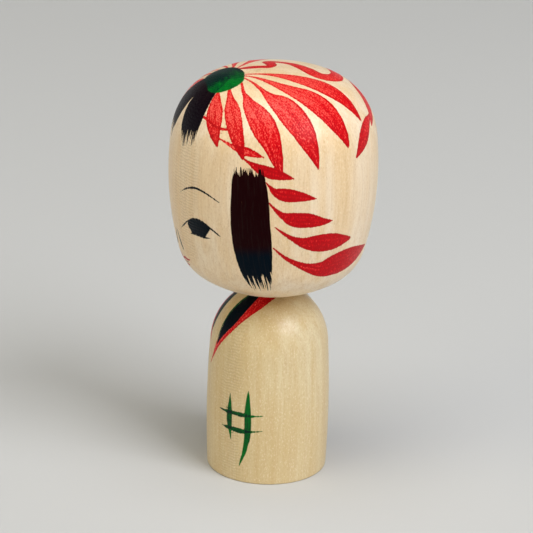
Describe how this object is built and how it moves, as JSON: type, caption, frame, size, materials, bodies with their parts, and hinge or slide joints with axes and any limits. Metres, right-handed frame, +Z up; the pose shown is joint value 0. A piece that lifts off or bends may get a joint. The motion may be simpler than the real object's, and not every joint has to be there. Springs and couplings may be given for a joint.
{
  "type": "kokeshi doll",
  "caption": "Small turned wooden kokeshi doll: a broad rounded head that turns on a peg in a short domed body, painted in red, black and green",
  "frame": {"origin": "centre of the base's flat foot, on the turning axis", "axes": "+Z is up along the turning axis, -Y is the way the doll faces, +X is the doll's own left"},
  "size_m": [0.0448, 0.0448, 0.091],
  "materials": {
    "body_wood": "pale dogwood, painted by brush and waxed to a satin",
    "head_wood": "pale dogwood, painted by brush and waxed to a satin",
    "peg_wood": "bare turned wood, unwaxed"
  },
  "bodies": {
    "body": {"body": "body_wood"},
    "head": {"head": "head_wood", "neck_peg": "peg_wood"}
  },
  "joints": [
    {"name": "head_turn", "type": "hinge", "parent": "body", "child": "head", "pos_m": [0, 0, 0.0413], "axis": [0, 0, 1], "continuous": true}
  ]
}
